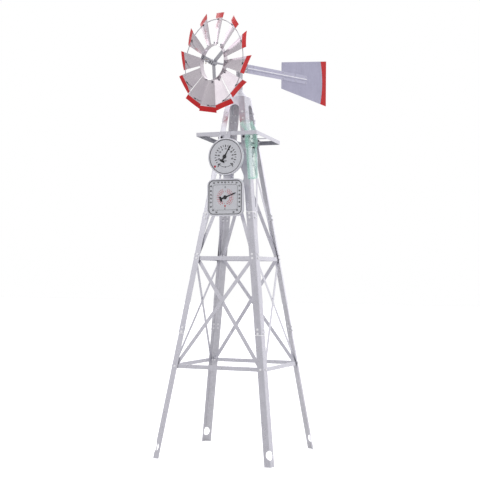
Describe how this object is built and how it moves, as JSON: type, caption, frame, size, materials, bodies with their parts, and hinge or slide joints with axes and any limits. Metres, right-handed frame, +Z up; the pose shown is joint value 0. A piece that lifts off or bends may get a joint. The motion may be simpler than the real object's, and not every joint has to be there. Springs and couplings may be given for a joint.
{
  "type": "garden windmill",
  "caption": "Ornamental garden windmill: a tapering lattice steel tower with two dials, a rain gauge and a multi blade wheel on a turning head with a tail vane.",
  "frame": {"origin": "middle of the whole model's footprint, on the ground", "axes": "+Z up, -Y towards the tower's front face, which holds the dials, +X to the right of that face"},
  "size_m": [0.693, 1.0078, 2.4385],
  "materials": {
    "galvanised": "matt galvanised sheet with faint spangle",
    "zinc": "zinc plated, satin",
    "blade_sheet": "rolled bright sheet, brushed along the blade",
    "vane_sheet": "matt galvanised sheet",
    "red_paint": "gloss red enamel",
    "dial_metal": "silver paint, satin",
    "dial_face": "printed silver card",
    "black_print": "black print",
    "red_print": "red print",
    "black_paint": "satin black",
    "lens": "clear polished",
    "clear_green": "clear green tinted moulding",
    "bright_bolt": "bright zinc plated",
    "dark_bolt": "dark plated",
    "brass": "dull brass"
  },
  "bodies": {
    "tower": {"leg_back_right_lower": "galvanised", "leg_back_right_middle": "galvanised", "leg_back_right_upper": "galvanised", "leg_back_left_lower": "galvanised", "leg_back_left_middle": "galvanised", "leg_back_left_upper": "galvanised", "leg_front_left_lower": "galvanised", "leg_front_left_middle": "galvanised", "leg_front_left_upper": "galvanised", "leg_front_right_lower": "galvanised", "leg_front_right_middle": "galvanised", "leg_front_right_upper": "galvanised", "front_lower_rail": "galvanised", "front_upper_rail": "galvanised", "front_brace_rising_right": "galvanised", "front_brace_rising_left": "galvanised", "front_top_cross_brace": "galvanised", "right_lower_rail": "galvanised", "right_upper_rail": "galvanised", "right_brace_rising_right": "galvanised", "right_brace_rising_left": "galvanised", "right_top_cross_brace": "galvanised", "back_lower_rail": "galvanised", "back_upper_rail": "galvanised", "back_brace_rising_right": "galvanised", "back_brace_rising_left": "galvanised", "back_top_cross_brace": "galvanised", "left_lower_rail": "galvanised", "left_upper_rail": "galvanised", "left_brace_rising_right": "galvanised", "left_brace_rising_left": "galvanised", "left_top_cross_brace": "galvanised", "platform_frame": "galvanised", "crown": "galvanised", "dial_hanger": "galvanised", "thermometer_case": "dial_metal", "barometer_case": "dial_metal", "rain_gauge_bracket": "clear_green"},
    "head": {"head_frame": "zinc", "tail_boom": "galvanised", "tail_vane": "vane_sheet"},
    "wheel": {"wheel_shaft": "zinc", "wheel_hub": "zinc", "wheel_hoop": "galvanised", "wheel_rim": "galvanised", "blade_01": "blade_sheet", "blade_02": "blade_sheet", "blade_03": "blade_sheet", "blade_04": "blade_sheet", "blade_05": "blade_sheet", "blade_06": "blade_sheet", "blade_07": "blade_sheet", "blade_08": "blade_sheet", "blade_09": "blade_sheet", "blade_10": "blade_sheet", "blade_11": "blade_sheet", "blade_12": "blade_sheet"},
    "thermometer_pointer": {"thermometer_needle": "black_paint"},
    "barometer_pointer": {"barometer_needle": "black_paint"},
    "rain_gauge": {"rain_gauge_tube": "clear_green"}
  },
  "joints": [
    {"name": "head_yaw", "type": "hinge", "parent": "tower", "child": "head", "pos_m": [0, -0.15739, 2.1], "axis": [0, 0, 1], "continuous": true},
    {"name": "wheel_spin", "type": "hinge", "parent": "head", "child": "wheel", "pos_m": [-0.07972, -0.33644, 2.161], "axis": [-0.4067, -0.9135, 0], "continuous": true},
    {"name": "thermometer_turn", "type": "hinge", "parent": "tower", "child": "thermometer_pointer", "pos_m": [0, -0.33949, 1.636], "axis": [0, -1, 0], "range_deg": [-105.5, 164.5]},
    {"name": "barometer_turn", "type": "hinge", "parent": "tower", "child": "barometer_pointer", "pos_m": [0.006, -0.33949, 1.4135], "axis": [0, -1, 0], "range_deg": [-66, 204]},
    {"name": "rain_gauge_lift", "type": "slide", "parent": "tower", "child": "rain_gauge", "axis": [-0.0972, 0.0972, 0.9905], "range_m": [0, 0.03]}
  ]
}
